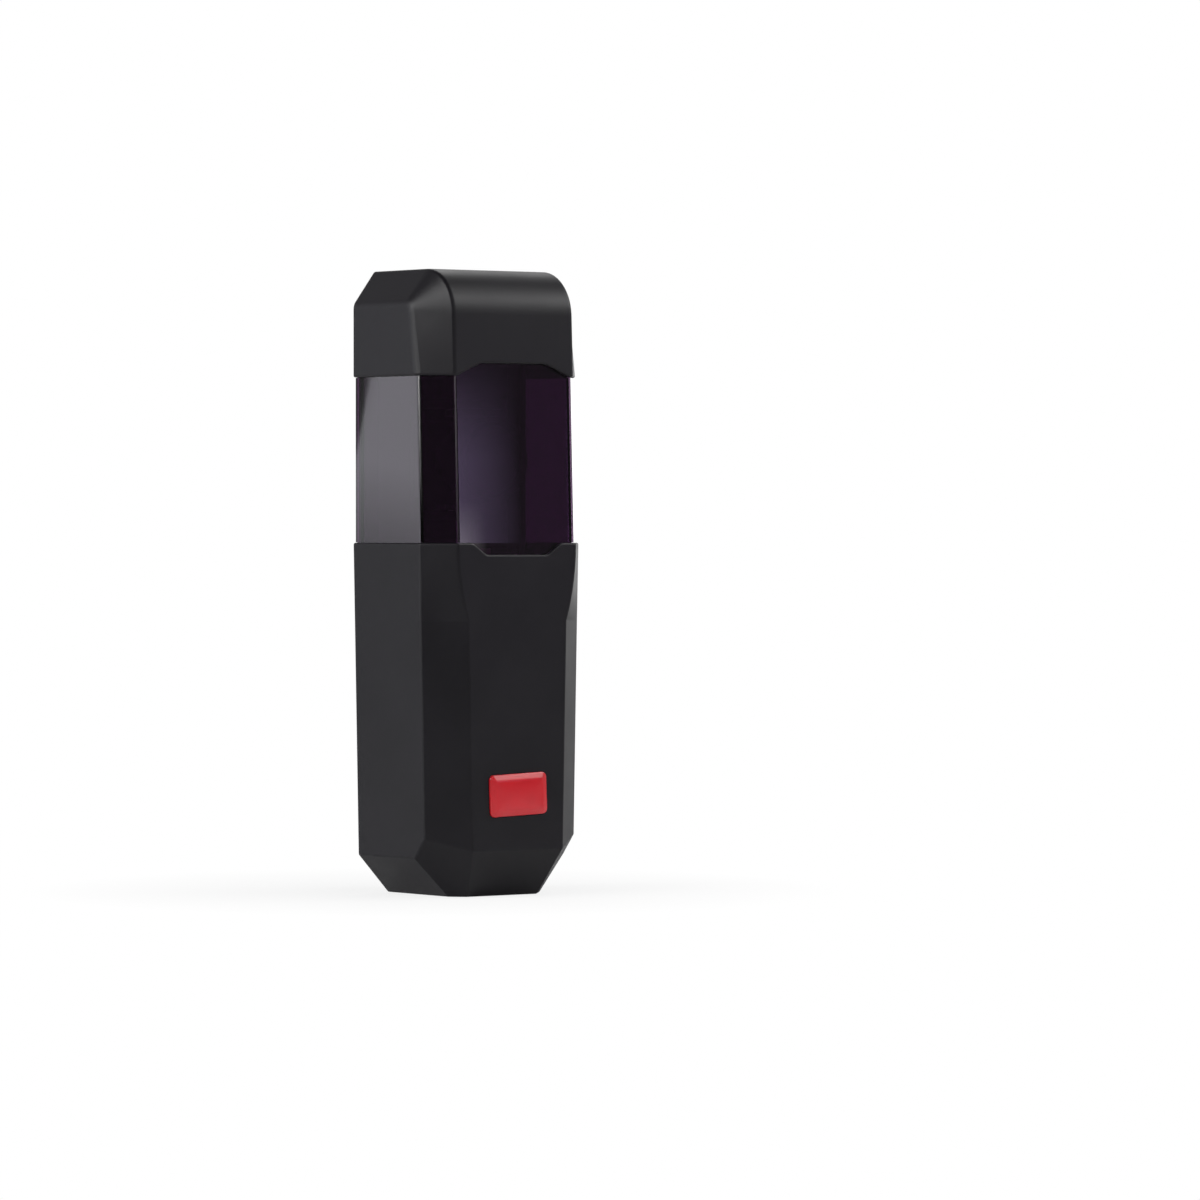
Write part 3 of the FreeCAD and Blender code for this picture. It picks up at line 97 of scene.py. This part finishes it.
def new_material(name):
    material = bpy.data.materials.new(name)
    material.use_nodes = True
    tree = material.node_tree
    return material, tree, tree.nodes["Principled BSDF"]


def add(tree, kind, **inputs):
    # a node with its inputs set; an underscore stands for the space in an input's name
    node = tree.nodes.new(kind)
    for key, value in inputs.items():
        node.inputs[key.replace("_", " ")].default_value = value
    return node


def link(tree, source, output, target, target_input):
    tree.links.new(source.outputs[output], target.inputs[target_input])


def calculate(tree, operation, first, first_output, second, second_output):
    node = add(tree, "ShaderNodeMath")
    node.operation = operation
    link(tree, first, first_output, node, 0)
    link(tree, second, second_output, node, 1)
    return node


def noise(tree, scale, detail, stretch=(1.0, 1.0, 1.0)):
    place = add(tree, "ShaderNodeTexCoord")
    mapping = add(tree, "ShaderNodeMapping", Scale=stretch)
    texture = add(tree, "ShaderNodeTexNoise", Scale=scale, Detail=detail, Roughness=NOISE_ROUGHNESS)
    link(tree, place, "Object", mapping, "Vector")
    link(tree, mapping, "Vector", texture, "Vector")
    return texture


def ramp(tree, source, output, low, high, start=NOISE_LOW, end=NOISE_HIGH):
    # a number that runs from low to high while the source runs from start to end
    spread = add(tree, "ShaderNodeMapRange", From_Min=start, From_Max=end, To_Min=low, To_Max=high)
    link(tree, source, output, spread, "Value")
    return spread


def tint(tree, texture, colour, change):
    # a colour that runs from darker to lighter with the texture
    mix = tree.nodes.new("ShaderNodeValToRGB")
    dark = [channel * (1.0 - change) for channel in colour]
    light = [channel * (1.0 + change) for channel in colour]
    mix.color_ramp.elements[0].position = NOISE_LOW
    mix.color_ramp.elements[0].color = (*dark, 1.0)
    mix.color_ramp.elements[1].position = NOISE_HIGH
    mix.color_ramp.elements[1].color = (*light, 1.0)
    link(tree, texture, "Fac", mix, "Fac")
    return mix


def roughen(tree, shader, texture, least, most):
    # gloss that changes with the texture
    spread = ramp(tree, texture, "Fac", least, most)
    link(tree, spread, "Result", shader, "Roughness")


def emboss(tree, shader, texture, strength, depth):
    # fine relief from the texture
    bump = add(tree, "ShaderNodeBump", Strength=strength, Distance=depth)
    link(tree, texture, "Fac", bump, "Height")
    link(tree, bump, "Normal", shader, "Normal")


def dress(name, material):
    mesh = nodes[name].data
    mesh.materials.clear()
    mesh.materials.append(material)


# Moulded plastic and rubber: eroded mould grain, with slow changes of tone and gloss
MOULD_SCALE = 45.0
MOULD_DETAIL = 3.0
MOULD_CHANGE = 0.12
MOULD_SPREAD = 0.04
MOULD_GLOSS = 0.5
GRAIN = 2200.0
GRAIN_DETAIL = 2.0
GRAIN_STRENGTH = 0.4
GRAIN_DEPTH = 0.00004


def moulded_plastic(name, colour, roughness, grain=GRAIN, depth=GRAIN_DEPTH, change=MOULD_CHANGE,
                    gloss=MOULD_GLOSS):
    material, tree, shader = new_material(name)
    slow = noise(tree, MOULD_SCALE, MOULD_DETAIL)
    fine = noise(tree, grain, GRAIN_DETAIL)
    tone = tint(tree, slow, colour, change)
    link(tree, tone, "Color", shader, "Base Color")
    roughen(tree, shader, slow, roughness - MOULD_SPREAD, roughness + MOULD_SPREAD)
    emboss(tree, shader, fine, GRAIN_STRENGTH, depth)
    shader.inputs["Specular IOR Level"].default_value = gloss
    return material


# Window: polycarbonate dyed so deep that only a strong light behind shows through it
WINDOW_COLOUR = (0.098, 0.043, 0.105)
WINDOW_IOR = 1.58
WINDOW_SCALE = 60.0
WINDOW_ROUGHNESS = (0.01, 0.025)

# Lens and lamp: clear mouldings
CLEAR_IOR = 1.5
CLEAR_SCALE = 200.0
CLEAR_ROUGHNESS = (0.02, 0.06)
CLEAR_DETAIL = 2.0


def clear_moulding(name, colour, ior=CLEAR_IOR, scale=CLEAR_SCALE, roughness=CLEAR_ROUGHNESS):
    material, tree, shader = new_material(name)
    shader.inputs["Base Color"].default_value = (*colour, 1.0)
    shader.inputs["Transmission Weight"].default_value = 1.0
    shader.inputs["IOR"].default_value = ior
    slow = noise(tree, scale, CLEAR_DETAIL)
    roughen(tree, shader, slow, *roughness)
    return material


def violet_window(name):
    return clear_moulding(name, WINDOW_COLOUR, WINDOW_IOR, WINDOW_SCALE, WINDOW_ROUGHNESS)


# Badge finish: printed red under a clear resin dome
RED = (0.72, 0.018, 0.028)
RED_CHANGE = 0.06
RED_SCALE = 90.0
RED_DETAIL = 3.0
RED_ROUGHNESS = (0.28, 0.36)
RED_GLOSS = 0.1
RESIN_ROUGHNESS = 0.12


def red_badge(name):
    material, tree, shader = new_material(name)
    slow = noise(tree, RED_SCALE, RED_DETAIL)
    tone = tint(tree, slow, RED, RED_CHANGE)
    link(tree, tone, "Color", shader, "Base Color")
    roughen(tree, shader, slow, *RED_ROUGHNESS)
    shader.inputs["Coat Weight"].default_value = 1.0
    shader.inputs["Coat Roughness"].default_value = RESIN_ROUGHNESS
    shader.inputs["Specular IOR Level"].default_value = RED_GLOSS
    return material


# Screws: brushed zinc
STEEL = (0.62, 0.61, 0.57)
STEEL_CHANGE = 0.12
BRUSH_SCALE = 900.0
BRUSH_DETAIL = 4.0
BRUSH_STRETCH = (1.0, 0.2, 1.0)
BRUSH_STRENGTH = 0.2
BRUSH_DEPTH = 0.00002
STEEL_ROUGHNESS = (0.28, 0.42)


def zinc_steel(name):
    material, tree, shader = new_material(name)
    brush = noise(tree, BRUSH_SCALE, BRUSH_DETAIL, BRUSH_STRETCH)
    tone = tint(tree, brush, STEEL, STEEL_CHANGE)
    link(tree, tone, "Color", shader, "Base Color")
    roughen(tree, shader, brush, *STEEL_ROUGHNESS)
    shader.inputs["Metallic"].default_value = 1.0
    emboss(tree, shader, brush, BRUSH_STRENGTH, BRUSH_DEPTH)
    return material


# Boards: solder mask over a lattice of tracks
MASK_DARK = (0.012, 0.09, 0.035, 1.0)
MASK_LIGHT = (0.014, 0.105, 0.042, 1.0)
TRACK = (0.02, 0.16, 0.06, 1.0)
TRACK_SCALE = 160.0
TRACK_WIDTH = 0.05
TRACK_STRENGTH = 0.3
TRACK_DEPTH = 0.00004
BOARD_ROUGHNESS = 0.35


def circuit_board(name):
    material, tree, shader = new_material(name)
    place = add(tree, "ShaderNodeTexCoord")
    tracks = add(tree, "ShaderNodeTexBrick", Scale=TRACK_SCALE, Mortar_Size=TRACK_WIDTH,
                 Color1=MASK_DARK, Color2=MASK_LIGHT, Mortar=TRACK)
    turn = add(tree, "ShaderNodeMapping", Rotation=(RIGHT_ANGLE, 0.0, 0.0))
    link(tree, place, "Object", turn, "Vector")
    link(tree, turn, "Vector", tracks, "Vector")
    link(tree, tracks, "Color", shader, "Base Color")
    emboss(tree, shader, tracks, TRACK_STRENGTH, TRACK_DEPTH)
    shader.inputs["Roughness"].default_value = BOARD_ROUGHNESS
    return material


# Which material each node has; screws and what else isn't named here are zinc
CHIP_BLACK = (0.02, 0.02, 0.02)


def make_materials():
    shell = moulded_plastic("shell_black", (0.0078, 0.0068, 0.0095), 0.41, gloss=0.3)
    tray = moulded_plastic("tray_plastic", (0.022, 0.022, 0.023), 0.55)
    head = moulded_plastic("head_plastic", (0.012, 0.012, 0.012), 0.6)
    rubber = moulded_plastic("seal_rubber", (0.014, 0.014, 0.014), 0.72, grain=1200.0, depth=0.00006,
                             change=0.2, gloss=0.35)
    looks = {
        "wall_base": tray,
        "base_gasket": rubber,
        "cable_grommet": rubber,
        "main_board": circuit_board("board_green"),
        "terminal_block": moulded_plastic("terminal_green", (0.02, 0.2, 0.07), 0.45),
        "relay": moulded_plastic("relay_black", (0.02, 0.02, 0.022), 0.4),
        "smoothing_capacitor": moulded_plastic("capacitor_sleeve", (0.012, 0.02, 0.07), 0.3,
                                               grain=600.0, depth=0.00002),
        "surge_varistor": moulded_plastic("varistor_blue", (0.02, 0.09, 0.35), 0.3, grain=900.0),
        "controller_chip": moulded_plastic("chip_black", CHIP_BLACK, 0.6, grain=3000.0, depth=0.00002),
        "alignment_led": clear_moulding("led_red", (0.8, 0.05, 0.04)),
        "mode_jumper": moulded_plastic("jumper_black", CHIP_BLACK, 0.45),
        "lead_socket": moulded_plastic("socket_white", (0.6, 0.58, 0.5), 0.5, change=0.05),
        "head_lead": moulded_plastic("lead_sheath", (0.1, 0.1, 0.105), 0.5, grain=1500.0, depth=0.00002),
        "swivel_cradle": head,
        "head_tube": head,
        "lens_ring": head,
        "head_rear_cap": head,
        "objective_lens": clear_moulding("lens_clear", (0.95, 0.96, 0.97)),
        "sensor_board": circuit_board("sensor_board_green"),
        "photodiode": moulded_plastic("diode_dark", (0.012, 0.008, 0.012), 0.15, grain=2000.0,
                                      depth=0.00001),
        "lens_window": violet_window("window_violet"),
        "top_hood": shell,
        "front_cover": shell,
        "badge": red_badge("badge_red"),
    }
    steel = zinc_steel("zinc_steel")
    for name in nodes:
        dress(name, looks.get(name, steel))
    return looks


# Badge: the CAD badge's outline, thickness and place, with the broad bevel of a poured resin dome
BADGE_HALF_WIDTH = 0.0092
BADGE_HALF_HEIGHT = 0.00555
BADGE_TURN = math.radians(2.0)
BADGE_CORNER = 0.0014
BADGE_CORNER_LEAST = 0.0002
BADGE_CORNER_SHRINK = 0.7
BADGE_CORNER_STEPS = 10
BADGE_EDGE = 0.0004
BADGE_BEVEL_WIDTH = 0.00095
BADGE_BEVEL = math.radians(20.0)
BADGE_BLEND_WIDTH = 0.0009
BADGE_TOP_TILT = math.radians(2.0)
BADGE_TOP_WIDTH = 0.0032
BADGE_STEPS = 6
CREASE = math.radians(50.0)


def badge_outline(inset):
    # rounded rectangle, turned a little as the badge is stuck on
    wide = BADGE_HALF_WIDTH - inset
    high = BADGE_HALF_HEIGHT - inset
    radius = min(high, max(BADGE_CORNER_LEAST, BADGE_CORNER - BADGE_CORNER_SHRINK * inset))
    points = []
    for quarter, (side, end) in enumerate(((1, 1), (-1, 1), (-1, -1), (1, -1))):
        for step in range(BADGE_CORNER_STEPS + 1):
            angle = RIGHT_ANGLE * (quarter + step / BADGE_CORNER_STEPS)
            x = side * (wide - radius) + radius * math.cos(angle)
            z = end * (high - radius) + radius * math.sin(angle)
            points.append((x * math.cos(BADGE_TURN) - z * math.sin(BADGE_TURN),
                           x * math.sin(BADGE_TURN) + z * math.cos(BADGE_TURN)))
    return points


def badge_profile():
    # inset and rise of each ring: rounded edge, bevel, blend and a nearly flat top
    rings = []
    for step in range(BADGE_STEPS + 1):
        angle = (RIGHT_ANGLE - BADGE_BEVEL) * step / BADGE_STEPS
        rings.append((BADGE_EDGE * (1.0 - math.cos(angle)), BADGE_EDGE * math.sin(angle)))
    inset, rise = rings[-1]
    for width, start, end in ((BADGE_BEVEL_WIDTH, BADGE_BEVEL, BADGE_BEVEL),
                              (BADGE_BLEND_WIDTH, BADGE_BEVEL, BADGE_TOP_TILT),
                              (BADGE_TOP_WIDTH, BADGE_TOP_TILT, 0.0)):
        for step in range(BADGE_STEPS):
            # the tilt half way through the step
            tilt = start + (end - start) * (step + 0.5) / BADGE_STEPS
            inset += width / BADGE_STEPS
            rise += math.tan(tilt) * width / BADGE_STEPS
            rings.append((inset, rise))
    return rings


def make_badge(material):
    # rings from the back to the top, joined by faces and closed at both ends
    low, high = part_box("badge")
    middle_z = (low.z + high.z) / 2
    profile = badge_profile()
    top = profile[-1][1]
    levels = [(0.0, high.y)]
    for inset, rise in profile:
        levels.append((inset, low.y + top - rise))
    points = []
    faces = []
    count = len(badge_outline(0.0))
    for row, (inset, level) in enumerate(levels):
        for x, z in badge_outline(inset):
            points.append((x, level, middle_z + z))
        if row == 0:
            continue
        start = (row - 1) * count
        for spot in range(count):
            after = (spot + 1) % count
            faces.append((start + spot, start + after, start + count + after, start + count + spot))
    last = len(points) - count
    faces.append(tuple(range(last, last + count)))
    faces.append(tuple(reversed(range(count))))
    mesh = bpy.data.meshes.new("badge_dome")
    mesh.from_pydata(points, [], faces)
    mesh.polygons.foreach_set("use_smooth", [True] * len(faces))
    mesh.set_sharp_from_angle(angle=CREASE)
    mesh.materials.append(material)
    dome = bpy.data.objects.new("badge_dome", mesh)
    scene.collection.objects.link(dome)
    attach(dome, "housing")
    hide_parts("badge")


# World: white to the eye and through the window; a pale backdrop and a dim room to everything else
BACKDROP_SIDE = (0.75, 0.66, -0.5)
BACKDROP_START = -0.3
BACKDROP_END = 0.95
BACKDROP_LIGHT = 0.66
ROOM_LIGHT = 0.04


def make_world():
    world = bpy.data.worlds.new("studio")
    scene.world = world
    world.use_nodes = True
    tree = world.node_tree
    room = tree.nodes["Background"]
    place = add(tree, "ShaderNodeTexCoord")
    side = add(tree, "ShaderNodeVectorMath")
    side.operation = "DOT_PRODUCT"
    side.inputs[1].default_value = BACKDROP_SIDE
    link(tree, place, "Generated", side, 0)
    level = ramp(tree, side, "Value", ROOM_LIGHT, BACKDROP_LIGHT, start=BACKDROP_START, end=BACKDROP_END)
    level.interpolation_type = "SMOOTHSTEP"
    link(tree, level, "Result", room, "Strength")
    room.inputs["Color"].default_value = WHITE
    white = add(tree, "ShaderNodeBackground", Color=WHITE, Strength=1.0)
    path = add(tree, "ShaderNodeLightPath")
    seen = calculate(tree, "MAXIMUM", path, "Is Camera Ray", path, "Is Transmission Ray")
    mix = add(tree, "ShaderNodeMixShader")
    link(tree, seen, "Value", mix, 0)
    link(tree, room, "Background", mix, 1)
    link(tree, white, "Background", mix, 2)
    link(tree, mix, "Shader", tree.nodes["World Output"], "Surface")


# Floor: fades into the white backdrop and keeps a soft shadow close to the part; its colour is a painted
# pool of light, pale near the part and darker farther off
FLOOR_HALF = 3.0
FLOOR_GAP = 0.0001
FLOOR_ROUGHNESS = 0.9
FLOOR_NEAR_PAINTED_LIGHT = 0.8
FLOOR_FAR_PAINTED_SHADE = 0.35
FLOOR_NEAR = 0.15
FLOOR_FAR = 0.8
SHADOW_NEAR = 0.02
SHADOW_FAR = 0.11
SHADOW_SHARE = 0.2


def make_floor():
    mesh = bpy.data.meshes.new("floor")
    level = cad_low.z - FLOOR_GAP
    corners = [(-FLOOR_HALF, -FLOOR_HALF, level), (FLOOR_HALF, -FLOOR_HALF, level),
               (FLOOR_HALF, FLOOR_HALF, level), (-FLOOR_HALF, FLOOR_HALF, level)]
    mesh.from_pydata(corners, [], [(0, 1, 2, 3)])
    floor = bpy.data.objects.new("floor", mesh)
    scene.collection.objects.link(floor)
    material, tree, shader = new_material("floor")
    shader.inputs["Roughness"].default_value = FLOOR_ROUGHNESS
    white = add(tree, "ShaderNodeEmission", Color=WHITE, Strength=1.0)
    place = add(tree, "ShaderNodeTexCoord")
    reach = add(tree, "ShaderNodeVectorMath")
    reach.operation = "LENGTH"
    flat = add(tree, "ShaderNodeMapping", Scale=(1.0, 1.0, 0.0))
    link(tree, place, "Object", flat, "Vector")
    link(tree, flat, "Vector", reach, 0)
    # painted light and shade: the floor's colour is lighter near the part and darker farther off, in
    # place of light falling off
    tone = ramp(tree, reach, "Value", FLOOR_NEAR_PAINTED_LIGHT, FLOOR_FAR_PAINTED_SHADE, start=FLOOR_NEAR, end=FLOOR_FAR)
    link(tree, tone, "Result", shader, "Base Color")
    fade = ramp(tree, reach, "Value", 1.0 - SHADOW_SHARE, 1.0, start=SHADOW_NEAR, end=SHADOW_FAR)
    path = add(tree, "ShaderNodeLightPath")
    share = calculate(tree, "MULTIPLY", fade, "Result", path, "Is Camera Ray")
    mix = add(tree, "ShaderNodeMixShader")
    link(tree, share, "Value", mix, 0)
    link(tree, shader, "BSDF", mix, 1)
    link(tree, white, "Emission", mix, 2)
    link(tree, mix, "Shader", tree.nodes["Material Output"], "Surface")
    mesh.materials.append(material)


# Lights: softboxes far off, and small lamps and cards near the part for its highlights
NEUTRAL_LIGHT = (1.0, 1.0, 1.0)
COOL_LIGHT = (0.97, 1.0, 1.05)
VIOLET_LIGHT = (0.95, 0.76, 1.3)


def feather(data, edges):
    # lets the light fade towards the edges of the panel: left, right, low and high shares
    data.use_nodes = True
    tree = data.node_tree
    emission = tree.nodes["Emission"]
    face = add(tree, "ShaderNodeNewGeometry")
    split = add(tree, "ShaderNodeSeparateXYZ")
    link(tree, face, "Parametric", split, "Vector")
    level = None
    for axis, near, far in (("X", *edges[:2]), ("Y", *edges[2:])):
        for start, end in ((0.0, near), (1.0, 1.0 - far)):
            if start == end:
                continue
            fade = ramp(tree, split, axis, 0.0, 1.0, start=start, end=end)
            if level is None:
                level = fade
            else:
                level = calculate(tree, "MULTIPLY", level, 0, fade, 0)
    link(tree, level, 0, emission, "Strength")


def panel(name, spot, aim, width, height, radiance, turn=0.0, edges=None, colour=NEUTRAL_LIGHT):
    # a rectangular softbox; its power follows from how bright its face is
    data = bpy.data.lights.new(name, "AREA")
    data.shape = "RECTANGLE"
    data.size = width
    data.size_y = height
    data.energy = math.pi * width * height * radiance
    data.color = colour
    lamp = bpy.data.objects.new(name, data)
    scene.collection.objects.link(lamp)
    lamp.location = spot
    facing = (Vector(aim) - Vector(spot)).to_track_quat("-Z", "Y")
    lamp.rotation_euler = facing.to_euler()
    lamp.rotation_euler.rotate_axis("Z", math.radians(turn))
    lamp.visible_camera = False
    if edges:
        feather(data, edges)


def light_left_side():
    # the window's side pane mirrors the first, hood and cover the others
    panel("softbox_left", spot=(-0.8495, 0.619, 0.3), aim=(0.0875, 0.269, 0.3), width=0.663, height=0.798,
          radiance=1.55, turn=-11.7, edges=(0.0, 0.0, 0.088, 0.0), colour=COOL_LIGHT)
    panel("softbox_side", spot=(-1.08, 0.04, 0.62), aim=(0.0, 0.04, 0.62), width=0.72, height=1.14,
          radiance=6.0, edges=(0.0, 0.0, 0.3, 0.0))
    panel("side_strip", spot=(-1.0, 0.087, 0.085), aim=(0.0, 0.0, 0.085), width=0.36, height=0.08,
          radiance=5.0, edges=(0.0, 0.0, 0.7, 0.0))


def light_front():
    # main light on the front, the crown's soft highlight and the bevel of the badge
    panel("softbox_right", spot=(0.82, -0.77, 0.7), aim=(0.0, 0.0, 0.0), width=0.8, height=0.6,
          radiance=3.3, edges=(0.0, 0.0, 0.35, 0.35))
    panel("near_right", spot=(0.171, -0.192, 0.359), aim=(0.02, -0.03, 0.075), width=0.26, height=0.26,
          radiance=1.4, edges=(0.0, 0.0, 0.35, 0.35))
    panel("high_card", spot=(0.3, -0.44, 0.165), aim=(0.3, 0.0, 0.165), width=0.2, height=0.11,
          radiance=1.2, edges=(0.0, 0.0, 0.2, 0.3))
    panel("high_right", spot=(0.34, -0.19, 0.28), aim=(0.0, -0.038, -0.0556), width=0.16, height=0.14,
          radiance=6.0)


def light_rear():
    # the right corner band
    panel("softbox_rear", spot=(0.71, 0.62, 0.74), aim=(0.0, 0.0, 0.08), width=0.6, height=0.4,
          radiance=1.35)
    panel("rear_card", spot=(0.728, 0.529, 0.06), aim=(0.0, 0.0, 0.06), width=0.35, height=0.28,
          radiance=1.1, edges=(0.0, 0.0, 0.0, 0.5))


def light_window_front():
    # the left corner bands, and the pale haze that the window's front mirrors
    panel("softbox_front", spot=(-0.17, -1.19, 0.7), aim=(0.0, 0.0, 0.7), width=0.6, height=1.3,
          radiance=0.9, edges=(0.0, 0.0, 0.06, 0.0))
    panel("card", spot=(0.25, -0.44, 0.055), aim=(0.25, 0.0, 0.055), width=0.1, height=0.09,
          radiance=1.6, edges=(0.0, 0.5, 0.0, 0.4), colour=VIOLET_LIGHT)
    panel("low_card", spot=(0.2225, -0.41, 0.0216), aim=(0.2225, 0.0, 0.0216), width=0.08, height=0.05,
          radiance=1.6, edges=(0.0, 0.185, 0.0, 0.27))


make_camera()
materials = make_materials()
make_badge(materials["badge"])
make_world()
make_floor()
light_left_side()
light_front()
light_rear()
light_window_front()
